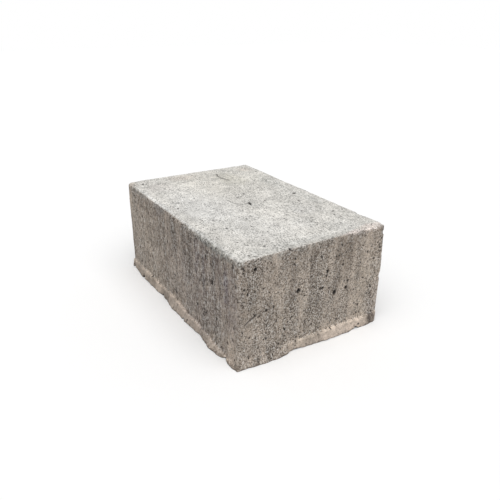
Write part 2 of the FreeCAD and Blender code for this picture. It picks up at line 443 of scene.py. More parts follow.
def pressed(across, up, hole):
    """How deep one hole presses each point: half an egg with an uneven rim."""
    at, height, size, depth, stretch = hole
    near = np.flatnonzero((np.abs(across - at) < 2 * size) & (np.abs(up - height) < 2 * size * stretch))
    spot = np.stack([across[near], up[near], np.full(len(near), 50.0 * size)], 1)
    rim = size * (1 + HOLE_WOBBLE * noise(spot, 1.4, 5))
    away = np.hypot(across[near] - at, (up[near] - height) / stretch) / rim
    return near, depth * np.sqrt(np.clip(1 - away**2, 0, None))


def groove(across, up, line, width=1.4, depth=0.8):
    """How deep a crack presses each point: most on its line, nothing past its width."""
    wobble = CRACK_WOBBLE * noise(np.stack([across, up, across * 0], 1), 3.0, 7)
    away = np.full(len(across), np.inf)
    for (a0, b0), (a1, b1) in zip(line, line[1:]):
        run = np.clip(((across - a0) * (a1 - a0) + (up - b0) * (b1 - b0))
                      / ((a1 - a0) ** 2 + (b1 - b0) ** 2), 0, 1)
        away = np.minimum(away, np.hypot(across - a0 - run * (a1 - a0), up - b0 - run * (b1 - b0)))
    return depth * np.clip(1 - (away + wobble) / width, 0, 1)


def strewn(draw, count, half_across, low_up, high_up, stretch):
    """Small holes at random over a face, most of them under a millimetre in radius."""
    size = SMALLEST_HOLE + draw.exponential(USUAL_EXTRA, count)
    return list(zip(draw.uniform(-half_across, half_across, count),
                    draw.uniform(low_up, high_up, count), size, size * draw.uniform(0.7, 1.2, count),
                    draw.uniform(0.9, stretch, count)))


# Each face: its points, its two directions, its holes and cracks, and how many small holes are
# strewn over it and how far the longest of them are stretched.
FACES = {
    "front": (y == -HALF[1], x, z, FRONT_HOLES, [], (330, 2.2)),
    "back": (y == HALF[1], x, z, [], [], (330, 2.0)),
    "right": (x == HALF[0], y, z, RIGHT_HOLES, RIGHT_CRACKS, (260, 1.5)),
    "left": (x == -HALF[0], y, z, [], [], (240, 1.8)),
    "top": (z == TOP, x, y, TOP_HOLES, TOP_CRACKS, (260, 1.1)),
}
sunk = 0.5 * bitten
draw = np.random.default_rng(2024)
for name, (mask, across_face, up_face, holes, cracks, (count, stretch)) in FACES.items():
    index = np.flatnonzero(mask)
    a, b = across_face[index], up_face[index]
    deep = np.zeros(len(index))
    small = strewn(draw, count, a.max() - 2, b.min() + 2, b.max() - 2, stretch)
    for hole in holes + small:
        near, depth = pressed(a, b, hole)
        deep[near] = np.maximum(deep[near], depth)
    for crack in cracks:
        deep = np.maximum(deep, groove(a, b, crack))
    sunk[index] = np.maximum(sunk[index], deep)
    print("%-6s %3d holes, deepest %.1f mm" % (name, len(holes + small), deep.max()))
shape -= wide_outward * sunk[:, None]

# %% [markdown]
# ## Uneven faces
#
# A site-made mould is a little bowed, and its boards drag at the concrete as they come off.
# A slow noise bows the faces by some tenths of a millimetre, and a finer one, drawn out
# upwards on the sides, leaves the drag. The underside stays flat, because the block stands
# on it, but its ragged edge lifts here and there.

# %% Bowed and dragged faces, and the lifted edge of the foot
RAISED = 1.8                                 # how much higher the top's -X, -Y corner stands
DROPPED = 0.9                                # how much lower its +X, +Y corner lies
SWELL = 1.8                                  # how far the +X, +Y arris swells out halfway up
BOW = 0.45                                   # how far a face bows in or out over a hand's width
WAVER = 0.18                                 # and over a finger's width
DRAG = 0.34                                  # how deep the boards' drag marks are
TOP_DRAG = 0.5                               # how much of that the top has
LIFT = 0.8                                   # how far the foot's edge lifts

is_top = outward[:, 2] > 0.7
drawn_out = np.where(is_top[:, None], plain, plain * (1, 1, 0.35))
bowed = BOW * noise(plain, 60.0, 101) + WAVER * noise(plain, 17.0, 111)
dragged = DRAG * rough_noise(drawn_out, 4.0, 121) * np.where(is_top, TOP_DRAG, 1.0)
off_floor = eased(z / 8)
share_x = (x + HALF[0]) / (2 * HALF[0])
share_y = (y + HALF[1]) / (2 * HALF[1])
tilted = RAISED * (1 - share_x) * (1 - share_y) - DROPPED * share_x * share_y
shape[:, 2] += tilted * np.clip(z / TOP, 0, 1)
swollen = SWELL * eased(share_x * 6 - 5) * eased(share_y * 5 - 4) * np.sin(math.pi * z / TOP) ** 0.7
shape += wide_outward * swollen[:, None]
shape += wide_outward * ((bowed + dragged) * off_floor)[:, None]
edge = np.maximum(np.abs(across), np.abs(along))
lifted = LIFT * np.clip(noise(plain * (1, 1, 0), 24.0, 131) + 0.15, 0, 1) * edge * eased(1 - z / 9)
shape[:, 2] = np.maximum(shape[:, 2] + lifted, 0)
print("foot lifts by up to %.1f mm" % lifted.max())

# %% [markdown]
# ## From arrays to a mesh
#
# foreach_set hands whole arrays to the mesh, which is far quicker than adding one face at a
# time. What the colours will need later goes in as point attributes: how far each point
# faces up, how deep it lies in a hole, for painted shade there, whether it is broken or part
# of the lip, and how near it is to the lip's ledge edge, for a painted highlight. The fine
# grid has far more faces than flat concrete needs, so a Decimate modifier keeps the small
# triangles for the holes, the lip and the arrises.

# %% The mesh and its attributes
MOST_TRIANGLES = 192000


def make_mesh(name, points, faces, values):
    """A mesh from a point array, a face array and named numbers for each point."""
    corners = faces.shape[1]
    mesh = bpy.data.meshes.new(name)
    mesh.vertices.add(len(points))
    mesh.vertices.foreach_set("co", points.astype(np.float32).ravel())
    mesh.loops.add(faces.size)
    mesh.loops.foreach_set("vertex_index", faces.astype(np.int32).ravel())
    mesh.polygons.add(len(faces))
    mesh.polygons.foreach_set("loop_start", np.arange(0, faces.size, corners, dtype=np.int32))
    for value_name, numbers in values.items():
        layer = mesh.attributes.new(value_name, "FLOAT", "POINT")
        layer.data.foreach_set("value", numbers.astype(np.float32))
    mesh.update(calc_edges=True)
    mesh.validate()
    return mesh


# the depth in a hole is kept for painted shade in the holes, cracks and bites
values = {"faces_up": np.clip(outward[:, 2], 0, 1), "hole_shade": np.clip(sunk, 0, 1),
          # rim: where a highlight is painted along the lip's ledge edge
          "broken": is_broken, "lip": is_lip, "rim": rim_highlight}
shares = (plain - (0, 0, HALF[2])) / HALF     # places on the plain box, from -1 to 1
values.update({"plain_x": shares[:, 0], "plain_y": shares[:, 1], "plain_z": shares[:, 2]})
fine = bpy.data.objects.new("fine", make_mesh("fine", shape * MM, quads, values))
bpy.context.scene.collection.objects.link(fine)

# %% Fewer triangles where the surface is plain
fewer = fine.modifiers.new("fewer", "DECIMATE")
fewer.ratio = MOST_TRIANGLES / (2 * len(quads))
fewer.use_collapse_triangulate = True
bpy.context.view_layer.update()
ready = fine.evaluated_get(bpy.context.evaluated_depsgraph_get())
mesh = bpy.data.meshes.new_from_object(ready)
bpy.data.objects.remove(fine)
block = bpy.data.objects.new("cast_padstone", mesh)
mesh.name = "cast_padstone"
bpy.context.scene.collection.objects.link(block)
mesh.shade_smooth()
print("triangles:", len(mesh.polygons), "attributes:", [a.name for a in mesh.attributes][:9])

# %% [markdown]
# ## A flat map of the block
#
# Anyone who wants the finish as a picture needs the surface laid out flat. The block unfolds
# like a carton: six rectangles, side by side. Each triangle goes with the side on which it
# mostly lies, and it is laid out by its place on the plain box. Where a triangle hangs over
# an edge, the part past the edge is folded flat, so no triangle shrinks to a line.

# %% The six sides, laid out on one sheet
MAP_GAP = 8.0
MAP_SIZE = 570.0                             # the sheet's side, mm
# Each side: its place on the sheet and its scale. The underside is never seen, so it is small.
MAP_PLACES = {(2, 1): (0, 0, 1), (1, -1): (0, 223, 1), (1, 1): (0, 371, 1),
              (0, 1): (338, 0, 1), (0, -1): (338, 148, 1), (2, -1): (338, 296, 0.5)}


def unfold(plain_corners, home_axis, home_sign):
    """Each corner's two places on its home side, from the side's left and bottom edges, mm."""
    first, second = [(1, 2), (0, 2), (0, 1)][home_axis]
    past = HALF[home_axis] * (1 - np.abs(plain_corners[..., home_axis]))
    flat = []
    for axis in (first, second):
        at = plain_corners[..., axis]
        over = HALF[axis] * (1 - np.abs(at)) < past
        flat.append(HALF[axis] * (at + 1) + np.where(over, np.sign(at) * past, 0))
    if (home_axis == 1) == (home_sign > 0):
        flat[0] = 2 * HALF[first] - flat[0]
    return np.stack(flat, -1)


def lay_flat(mesh):
    """Give the mesh its map: each triangle's corners, unfolded and put in their side's place."""
    spots = np.zeros((len(mesh.vertices), 3))
    for axis, letter in enumerate("xyz"):
        column = np.zeros(len(spots), np.float32)
        mesh.attributes["plain_" + letter].data.foreach_get("value", column)
        spots[:, axis] = column
    corners = np.zeros(len(mesh.loops), np.int32)
    mesh.loops.foreach_get("vertex_index", corners)
    corners = spots[corners].reshape(-1, 3, 3)
    middle = corners.mean(axis=1)
    home = np.abs(middle).argmax(axis=1)
    sign = np.sign(np.take_along_axis(middle, home[:, None], 1)[:, 0])
    flat = np.zeros((len(home), 3, 2))
    for (axis, side), (across, up, scale) in MAP_PLACES.items():
        on_side = (home == axis) & (sign == side)
        flat[on_side] = unfold(corners[on_side], axis, side) * scale + (across + MAP_GAP, up + MAP_GAP)
    layer = mesh.uv_layers.new(name="OFBake")
    layer.uv.foreach_set("vector", (flat / MAP_SIZE).astype(np.float32).ravel())
    return flat.min(), flat.max()


print("map: from %.1f to %.1f mm on a sheet of %.0f mm" % (*lay_flat(mesh), MAP_SIZE))

# %% [markdown]
# ## Small tools for shader nodes
#
# A material is a tree of nodes. Adding each node by hand takes four or five lines, so two
# helpers do it: one adds a node and fills or links its inputs, and one makes an empty group
# with named inputs and outputs. A group is a node made of nodes: grain, pinholes and stains
# are each built once and then used many times, with different numbers.

# %% Add a node, a sum or a group
KINDS = {"place": "NodeSocketVector", "number": "NodeSocketFloat"}


def add(tree, kind, inputs=None, **settings):
    """A new node. Its settings are set first; each input is then linked, or set to a number."""
    node = tree.nodes.new("ShaderNode" + kind)
    for name, value in settings.items():
        setattr(node, name, value)
    for key, value in (inputs or {}).items():
        if isinstance(value, bpy.types.NodeSocket):
            tree.links.new(value, node.inputs[key])
        else:
            node.inputs[key].default_value = value
    return node


def sums(tree, operation, *values):
    """The result of one Math node."""
    return add(tree, "Math", dict(enumerate(values)), operation=operation).outputs[0]


def places(tree, operation, first, second):
    """The result of one Vector Math node that takes two vectors."""
    return add(tree, "VectorMath", {0: first, 1: second}, operation=operation).outputs[0]


def scaled(tree, vector, scale):
    """A vector or a colour times a number."""
    return add(tree, "VectorMath", {0: vector, "Scale": scale}, operation="SCALE").outputs[0]


def spread(tree, value, low, high, to_low=0.0, to_high=1.0):
    """A value eased from one range to another, and held at the ends."""
    inputs = {0: value, 1: low, 2: high, 3: to_low, 4: to_high}
    return add(tree, "MapRange", inputs, interpolation_type="SMOOTHSTEP").outputs[0]


def tint(tree, share, first, second, blend="MIX"):
    """Two colours mixed by a share."""
    inputs = {0: share, 6: first, 7: second}
    return add(tree, "Mix", inputs, data_type="RGBA", blend_type=blend).outputs[2]


def new_group(name, inputs, outputs):
    """An empty node group: inputs as (name, kind, usual value), outputs as names of numbers."""
    group = bpy.data.node_groups.new(name, "ShaderNodeTree")
    for socket_name, kind, usual in inputs:
        socket = group.interface.new_socket(socket_name, in_out="INPUT", socket_type=KINDS[kind])
        socket.default_value = usual
    for socket_name in outputs:
        group.interface.new_socket(socket_name, in_out="OUTPUT", socket_type=KINDS["number"])
    return group, group.nodes.new("NodeGroupInput"), group.nodes.new("NodeGroupOutput")


def use(tree, group, **inputs):
    """A group placed in a tree. Its inputs are named with small letters here."""
    return add(tree, "Group", {name.capitalize(): value for name, value in inputs.items()},
               node_tree=group)


print("node helpers ready")

# %% [markdown]
# ## Cement grain
#
# Close up, cement skin is a fine speckle of paste and sand, each grain a millimetre or two
# across. A noise texture gives it. Its place is in millimetres, divided by the grain's size.
# On the sides the mould's boards dragged the paste upwards, so there the pattern is drawn out
# along Z, by dividing Z once more.

# %% The grain group
NOISE_LOW, NOISE_HIGH = 0.28, 0.72           # nearly all of the noise texture's values lie between
GRAIN_ROUGHNESS = 0.62                       # how strong each finer layer of the noise is


def make_grain():
    """Speckle from -1 to 1 about 0, and the same as a height from 0 to 1."""
    inputs = [("Place", "place", (0, 0, 0)), ("Size", "number", 2.0), ("Stretch", "number", 1.0),
              ("Detail", "number", 3.0)]
    group, given, out = new_group("cement_grain", inputs, ["Shade", "Height"])
    one = sums(group, "DIVIDE", 1.0, given.outputs["Size"])
    tall = sums(group, "DIVIDE", one, given.outputs["Stretch"])
    scale = add(group, "CombineXYZ", {0: one, 1: one, 2: tall}).outputs[0]
    place = places(group, "MULTIPLY", given.outputs["Place"], scale)
    speckle = add(group, "TexNoise", {"Vector": place, "Scale": 1.0, "Detail": given.outputs["Detail"],
                                      "Roughness": GRAIN_ROUGHNESS}).outputs[0]
    shade = spread(group, speckle, NOISE_LOW, NOISE_HIGH, -1.0, 1.0)
    group.links.new(shade, out.inputs["Shade"])
    group.links.new(speckle, out.inputs["Height"])
    return group


GRAIN = make_grain()
print("group:", GRAIN.name)

# %% [markdown]
# ## Pinholes
#
# Below a millimetre there are too many air bubbles to model. A Voronoi texture scatters one
# point in each cell of a grid. A disc round the point is a pinhole, and a random number from
# the same cell decides whether the cell has one, and how large it is.

# %% The pinhole group
HOLE_RANGE = (0.6, 1.4)                      # the smallest and largest hole, in shares of the size
HOLE_CORE = 0.45                             # the part of a hole's radius that is fully dark


def make_pinholes():
    """1 inside a pinhole and 0 outside. Share is the part of the cells that have one."""
    inputs = [("Place", "place", (0, 0, 0)), ("Spacing", "number", 5.0), ("Size", "number", 0.8),
              ("Share", "number", 0.5)]
    group, given, out = new_group("pinholes", inputs, ["Hole"])
    scale = sums(group, "DIVIDE", 1.0, given.outputs["Spacing"])
    place = scaled(group, given.outputs["Place"], scale)
    cells = add(group, "TexVoronoi", {"Vector": place, "Scale": 1.0})
    chance = add(group, "SeparateColor", {0: cells.outputs["Color"]})
    away = sums(group, "MULTIPLY", cells.outputs["Distance"], given.outputs["Spacing"])
    least, most = HOLE_RANGE
    varied = sums(group, "MULTIPLY_ADD", chance.outputs[1], most - least, least)
    edge = sums(group, "MULTIPLY", given.outputs["Size"], varied)
    inner = sums(group, "MULTIPLY", edge, HOLE_CORE)
    hole = spread(group, away, inner, edge, 1.0, 0.0)
    present = sums(group, "LESS_THAN", chance.outputs[0], given.outputs["Share"])
    group.links.new(sums(group, "MULTIPLY", hole, present), out.inputs["Hole"])
    return group


PINHOLES = make_pinholes()
print("group:", PINHOLES.name)

# %% [markdown]
# ## Stains
#
# Each stain is a soft patch: an egg-shaped region with a middle and three sizes. The place
# that it is given has been pushed about by a noise beforehand, so that no patch has a plain
# outline. A patch that is long in Z is a run mark, where damp has drawn down a side.

# %% The patch group
PATCH_CORE, PATCH_RIM = 0.35, 1.15           # where a patch starts to fade, and ends, in shares of its size


def make_patch():
    """1 in the middle of an egg-shaped patch, easing to 0 at its rim."""
    inputs = [("Place", "place", (0, 0, 0)), ("Middle", "place", (0, 0, 0)), ("Size", "place", (1, 1, 1))]
    group, given, out = new_group("soft_patch", inputs, ["Mask"])
    away = places(group, "SUBTRACT", given.outputs["Place"], given.outputs["Middle"])
    away = places(group, "DIVIDE", away, given.outputs["Size"])
    length = add(group, "VectorMath", {0: away}, operation="LENGTH").outputs["Value"]
    group.links.new(spread(group, length, PATCH_CORE, PATCH_RIM, 1.0, 0.0), out.inputs["Mask"])
    return group


PATCH = make_patch()
print("group:", PATCH.name)

# %% [markdown]
# ## The colours
#
# The face that lay on the mould's floor has a skin of pale laitance: cement so fine that it
# dries almost white. The sides are warmer and darker, a brown grey, and damp has left long
# dark run marks and a purple cast on them. Broken concrete is a fresh, slightly pink grey. The
# stains are listed one by one, each with its middle, its size, a colour and a strength. One
# patch among them, low on the +X face, is painted light.

# %% Colours and stains
LAITANCE = (0.722, 0.698, 0.650, 1)
SKIN = (0.525, 0.438, 0.362, 1)
SKIN_DAMP = (0.345, 0.282, 0.228, 1)
LIP_COLOUR = (0.640, 0.545, 0.450, 1)
FRESH = (0.740, 0.660, 0.610, 1)
# painted shadow along the foot of the sides, where they meet the floor
FOOT_SHADOW = (0.150, 0.120, 0.095, 1)
# painted shade: near black in the holes, cracks and bites
HOLE_SHADE_COLOUR = (0.020, 0.017, 0.015, 1)
PALE_GRAIN = (0.950, 0.935, 0.905, 1)        # what the paler grains lean towards
BREAK_SHADE_COLOUR = (0.130, 0.098, 0.075, 1)             # painted shade on broken faces at the +X, +Y arris

PURPLE = (0.205, 0.168, 0.170, 1)
UMBER = (0.180, 0.142, 0.110, 1)
BEIGE = (0.640, 0.540, 0.440, 1)
PEACH = (0.700, 0.580, 0.490, 1)
PINK = (0.660, 0.590, 0.560, 1)
YELLOW_GREEN = (0.590, 0.575, 0.460, 1)
GREEN_GREY = (0.400, 0.410, 0.390, 1)
BLUE_GREY = (0.540, 0.570, 0.585, 1)
MOSS_GREY = (0.330, 0.325, 0.295, 1)
CREAM = (0.700, 0.660, 0.570, 1)
WHITE = (0.790, 0.780, 0.755, 1)

STAIN_DEPTH = 12                             # how far into the block most stains reach, mm


def on_face(axis, level, rows):
    """Patches on the face that lies across an axis, near a level: stains, and on the +X face one
    painted pool of light. Each row has a patch's two places on the face, its two sizes, its
    colour and its strength, and last its depth if that isn't the usual one. Each patch gets a
    middle and a size along all three axes."""
    patches = []
    for first, second, wide, tall, colour, strength, *depth in rows:
        middle, size = [first, second], [wide, tall]
        middle.insert(axis, level)
        size.insert(axis, depth[0] if depth else STAIN_DEPTH)
        patches.append((middle, size, colour, strength))
    return patches


FRONT_STAINS = on_face(1, -107, [
    (2, 108, 9, 52, UMBER, 0.62), (-19, 95, 5, 60, PURPLE, 0.22), (83, 100, 4.5, 46, PURPLE, 0.62),
    (137, 97, 8, 34, PURPLE, 0.80), (115, 122, 14, 18, PURPLE, 0.35),
    (65, 112, 8, 36, PURPLE, 0.50), (74, 70, 104, 95, PURPLE, 0.30, 10),
    (-115, 60, 70, 80, BEIGE, 0.42), (155, 20, 24, 30, BEIGE, 0.35), (43, 92, 6, 40, UMBER, 0.50),
    (-57, 84, 7, 58, UMBER, 0.42), (-93, 100, 5, 46, UMBER, 0.42), (-47, 132, 12, 12, PURPLE, 0.35),
    (13, 20, 26, 16, UMBER, 0.20), (37, 118, 60, 34, UMBER, 0.22), (-154, 115, 26, 46, BEIGE, 0.85),
    (153, 82, 16, 66, PURPLE, 0.36, 8), (106, 12, 24, 16, BEIGE, 0.40, 10)])
RIGHT_STAINS_AND_LIGHT = on_face(0, 165, [
    (2, 68, 150, 110, BEIGE, 0.34), (-34, 96, 6, 58, UMBER, 0.55), (-5, 102, 7, 50, UMBER, 0.55),
    (35, 100, 8, 48, UMBER, 0.60), (50, 116, 8, 32, UMBER, 0.60), (92, 53, 36, 90, BEIGE, 0.62),
    (22, 16, 90, 14, BEIGE, 0.30), (-64, 10, 10, 9, UMBER, 0.50), (32, 72, 8, 12, UMBER, 0.40),
    (-94, 82, 12, 36, UMBER, 0.30), (-68, 73, 16, 16, UMBER, 0.25), (-86, 20, 10, 14, UMBER, 0.32),
    (28, 32, 26, 26, UMBER, 0.16), (-38, 53, 14, 40, UMBER, 0.14), (68, 98, 6, 40, UMBER, 0.30),
    # (104, 30) in PEACH is painted light: a warm pool of light low on the +X face by the +Y arris
    (104, 30, 16, 48, PEACH, 0.60), (-14, 28, 15, 30, UMBER, 0.34), (46, 128, 18, 14, UMBER, 0.60)])
TOP_STAINS = on_face(2, 140, [
    (-34, 98, 170, 50, GREEN_GREY, 0.14), (-140, 87, 16, 16, PEACH, 0.40),
    (-145, -25, 18, 26, PEACH, 0.40), (-114, -72, 28, 26, PINK, 0.30),
    (-99, 40, 50, 26, YELLOW_GREEN, 0.32), (-58, 86, 46, 15, GREEN_GREY, 0.36),
    (26, 90, 46, 12, GREEN_GREY, 0.28), (-116, 31, 22, 7, PURPLE, 0.20),
    (143, 60, 30, 30, BLUE_GREY, 0.12), (-20, -56, 125, 48, WHITE, 0.55),
    (96, -36, 60, 50, WHITE, 0.32), (16, 6, 24, 10, GREEN_GREY, 0.30),
    (158, -32, 16, 90, GREEN_GREY, 0.34), (96, -106, 80, 7, GREEN_GREY, 0.40),
    (-54, -104, 60, 6, WHITE, 0.40), (-144, 58, 20, 50, GREEN_GREY, 0.18),
    (-100, 88, 70, 36, GREEN_GREY, 0.12), (0, -72, 52, 36, WHITE, 0.40),
    (64, 52, 26, 22, WHITE, 0.35), (-64, 36, 26, 32, WHITE, 0.28), (107, 20, 24, 20, WHITE, 0.30),
    (-100, 20, 90, 110, CREAM, 0.30)])
# These lie along the arrises, so their outlines stay crisp. Each has its middle, its three
# sizes, its colour and its strength.
WRAPS = [((100, -108, 136), (72, 6, 5.5), MOSS_GREY, 0.80), ((-120, -108, 138), (50, 5, 5), MOSS_GREY, 0.45),
         ((165, -105, 137), (8, 8, 5), MOSS_GREY, 0.50), ((-10, -108, 138.5), (40, 4, 3.5), UMBER, 0.50),
         ((-40, -105, 141), (130, 2.2, 3), WHITE, 0.60), ((80, -104.5, 140.5), (70, 2.2, 3), WHITE, 0.45),
         ((161, 86, 140), (10, 26, 8), PEACH, 0.35), ((168, 70, 137), (5, 36, 5), PINK, 0.35),
         ((170, 46, 5), (9, 66, 12), PEACH, 0.80),
         ((50, -112, 5), (130, 10, 11), PURPLE, 0.22)]
# Painted shade on the lip's broken end at the foot, and on the bite near the top, both at the +X, +Y arris.
BREAK_SHADE = [((172, 97, 9), (16, 9, 12), BREAK_SHADE_COLOUR, 0.98), ((165, 107, 133), (9, 5, 6), BREAK_SHADE_COLOUR, 0.90)]


def run_marks(draw, count, side, reach):
    """Dark run marks at random places along one of the two sides that have none in the lists."""
    marks = []
    for at in draw.uniform(-reach, reach, count):
        height = draw.uniform(60, 120)
        width = draw.uniform(4, 11)
        length = draw.uniform(25, 60)
        colour = UMBER if draw.random() < 0.6 else PURPLE
        strength = draw.uniform(0.2, 0.55)
        if side == "left":
            marks.append(((-HALF[0], at, height), (STAIN_DEPTH, width, length), colour, strength))
        else:
            marks.append(((at, HALF[1], height), (width, STAIN_DEPTH, length), colour, strength))
    return marks


mark_draw = np.random.default_rng(31)
HIDDEN_STAINS = run_marks(mark_draw, 6, "left", 95) + run_marks(mark_draw, 9, "back", 150)
STAINS_AND_LIGHT = FRONT_STAINS + RIGHT_STAINS_AND_LIGHT + TOP_STAINS + HIDDEN_STAINS
print("stains:", len(STAINS_AND_LIGHT + WRAPS + BREAK_SHADE))

# %% [markdown]
# ## The concrete material: places and patterns
#
# The material takes its place from Object coordinates, in millimetres. Concrete is uneven at
# every scale at once, from grit to clouds as wide as a hand, so the grain group is used ten
# times, with ten sizes. On the real block a stain never has a smooth outline. So the stains
# read a place that a noise has pushed about, and further upwards than sideways, because damp
# runs down a wall. Pinholes and the marks along the arrises read one that is shaken only a little.

# %% The places, and the grain at ten sizes
MOST_PUSHED = (9.0, 9.0, 30.0)               # twice as far as a stain's outline is pushed, mm
MOST_SHAKEN = (3.0, 3.0, 3.0)                # the same for pinholes and marks along the arrises
PUSH_SCALE = 0.11                            # the pushing noise's bumps for each millimetre
# Each pattern: its size in mm, how far it is drawn out upwards, and its detail.
PATTERNS = {"grit": (1.2, 1.0, 1.0), "fine": (1.9, 1.0, 3.0), "dragged": (2.4, 3.0, 3.0),
            "specks": (3.0, 1.3, 2.0), "clumps": (4.2, 1.5, 2.0), "middling": (8.0, 1.0, 3.0),
            "runs": (9.0, 9.0, 2.0), "blotches": (20.0, 1.0, 3.0), "wide_runs": (26.0, 6.0, 2.0),
            "clouds": (52.0, 1.0, 2.0)}


def read_mark(tree, name):
    """One of the mesh's point values."""
    return add(tree, "Attribute", attribute_name=name).outputs["Fac"]


def block_places(tree):
    """The place in millimetres, the same place pushed about, and the same shaken a little."""
    coordinates = add(tree, "TexCoord").outputs["Object"]
    to_mm = (1 / MM, 1 / MM, 1 / MM)
    place = add(tree, "Mapping", {"Vector": coordinates, "Scale": to_mm}).outputs[0]
    push = add(tree, "TexNoise", {"Vector": place, "Scale": PUSH_SCALE, "Detail": 4.0})
    push = places(tree, "SUBTRACT", push.outputs["Color"], (0.5, 0.5, 0.5))
    pushed = places(tree, "ADD", place, places(tree, "MULTIPLY", push, MOST_PUSHED))
    shaken = places(tree, "ADD", place, places(tree, "MULTIPLY", push, MOST_SHAKEN))
    return place, pushed, shaken


def grain_patterns(tree, place):
    """Each pattern's shade, from -1 to 1, and its height, from 0 to 1."""
    shades, heights = {}, {}
    for name, (size, stretch, detail) in PATTERNS.items():
        pattern = use(tree, GRAIN, place=place, size=size, stretch=stretch, detail=detail)
        shades[name] = pattern.outputs["Shade"]
        heights[name] = pattern.outputs["Height"]
    return shades, heights


print("patterns:", len(PATTERNS))

# %% [markdown]
# ## Base colours, stains and the lip
#
# Two base colours meet where the block turns from top to side. The stains lie over them. A
# real stain takes in some spots and not in others, so its strength is multiplied by a patchy
# value. After the stains come the marks that the mesh knows about: the lip, whose fresh mortar
# is a little paler, a painted highlight along its rim, and the broken faces. Painted shade on
# two broken places at the +X, +Y arris comes last.

# %% The colours that lie flat on the block
TOP_FROM, TOP_FULL = 0.42, 0.74              # how far up a point faces where the top's colour starts
TOP_RAGGED = 0.14                            # how uneven that border is
DRIEST, DAMPEST = -0.7, 0.9                  # where a run's shade gives dry skin, and damp skin
PATCHY = 0.95                                # how well a stain takes, on the whole
PATCHY_CLUMPS, PATCHY_FINE = 0.55, 0.30      # how much that changes, in clumps and finely
LIP_SHARE = 0.24                             # how much of the lip's own colour it shows
RIM_HIGHLIGHT = 0.24                             # how much paler the painted highlight makes its rim
FRESH_SHARE = 0.90                           # how much of the fresh colour a break shows


def lay_patches(tree, colour, place, patches, patchy):
    """Each patch laid over the colour in turn, broken up by a patchy value. Most patches are
    stains, but a few are painted light and painted shade.
    """
    for middle, size, patch_colour, strength in patches:
        mask = use(tree, PATCH, place=place, middle=middle, size=size).outputs["Mask"]
        share = sums(tree, "MULTIPLY", mask, sums(tree, "MULTIPLY", patchy, strength))
        colour = tint(tree, share, colour, patch_colour)
    return colour


def lightened(tree, colour, shade, amount):
    """A colour times one plus a share of the shade, which runs from -1 to 1."""
    return scaled(tree, colour, sums(tree, "MULTIPLY_ADD", shade, amount, 1.0))


def top_share(tree, shades):
    """1 on the top and 0 on the sides, with an uneven border between."""
    facing = sums(tree, "MULTIPLY_ADD", shades["middling"], TOP_RAGGED, read_mark(tree, "faces_up"))
    return spread(tree, facing, TOP_FROM, TOP_FULL)


def base_colour(tree, shades, on_top):
    """Laitance on top, and skin that is dry or damp in long runs on the sides."""
    damp = spread(tree, shades["runs"], DRIEST, DAMPEST)
    return tint(tree, on_top, tint(tree, damp, SKIN, SKIN_DAMP), LAITANCE)


def patchiness(tree, shades):
    """How well a stain takes at each place: mostly about 1, and never below 0."""
    patchy = sums(tree, "MULTIPLY_ADD", shades["clumps"], PATCHY_CLUMPS, PATCHY)
    patchy = sums(tree, "MULTIPLY_ADD", shades["fine"], PATCHY_FINE, patchy)
    return sums(tree, "MAXIMUM", patchy, 0.0)


def lip_and_breaks(tree, colour, patchy, on_lip):
    """The lip's paler mortar, a painted highlight along its rim, and the fresh grey of broken concrete."""
    lip_share = sums(tree, "MULTIPLY", on_lip, sums(tree, "MULTIPLY", patchy, LIP_SHARE))
    colour = tint(tree, lip_share, colour, LIP_COLOUR)
    # a painted highlight along the lip's ledge edge
    colour = lightened(tree, colour, read_mark(tree, "rim"), RIM_HIGHLIGHT)
    fresh = sums(tree, "MULTIPLY", read_mark(tree, "broken"), sums(tree, "MULTIPLY", patchy, FRESH_SHARE))
    return tint(tree, fresh, colour, FRESH)


print("stain colours ready")

# %% [markdown]
# ## Speckle, specks and painted shade
#
# The speckle is the fine skin of paste and sand. The mould's long boards dragged it upwards,
# and its end boards less so. Its dark half darkens the colour, and its pale half mixes in the
# colour of pale sand, because plain brightening would turn the warm skin orange. Small dark
# marks come next: dark specks of sand, and painted shade in the pinholes. Last come a painted
# shadow along the foot and painted shade in the holes.

# %% The colours that stand out grain by grain
END_FROM = 0.985                             # the share of the half length where an end starts
DRAG_SHADES = (0.47, 0.15)                   # dragged speckle on the long sides, and on the ends
FINE_SHADES = (0.43, 0.74)                   # fine speckle on the long sides, and on the ends
GRIT_SHADE = 0.34                            # grit on all the sides
TOP_SHADE = 0.70                             # fine speckle on top
LIP_CALM = 0.72                              # how much of the speckle the smooth lip lacks
RUN_CALM = 0.35                              # how much of it a wide run lacks
SLOW_PATTERNS = {"clouds": 0.12, "blotches": 0.10, "middling": 0.17}
WIDE_RUN_LIGHT = 0.16                        # how much paler a wide run is
PALE_SHARE = 0.72                            # how much pale sand the palest speckle shows
SPECK_FROM, SPECK_FULL = 0.58, 0.66          # the pattern's height where a speck starts
# Each kind of small dark mark: how dark it is on the sides, and on top. In the pits and dots,
# which are pinholes, the darkening is painted shade; the specks are dark sand.
MARK_DARKNESS = {"specks": (0.55, 0.26), "pits": (0.80, 0.80), "dots": (0.55, 0.30)}
FOOT_SHADOW_HEIGHTS = (0.4, 2.4)                    # where the painted shadow along the foot starts to fade, and ends, mm
FOOT_RAGGED = 1.2                            # how uneven its upper edge is, mm
# how dark the painted shadow along the foot is
FOOT_SHADOW_SHARE = 0.8
HOLE_SHADE_CURVE = 0.6                             # below 1, so that the painted shade darkens shallow holes too
# how near to black the painted shade in the deepest holes goes
HOLE_SHADE_SHARE = 0.96


def small_marks(tree, shaken, heights):
    """1 inside each kind of small dark mark: specks of sand, pits and dots."""
    pits = use(tree, PINHOLES, place=shaken, spacing=10.0, size=1.6, share=0.55)
    dots = use(tree, PINHOLES, place=shaken, spacing=3.8, size=1.0, share=0.5)
    return {"specks": spread(tree, heights["specks"], SPECK_FROM, SPECK_FULL),
            "pits": pits.outputs["Hole"], "dots": dots.outputs["Hole"]}


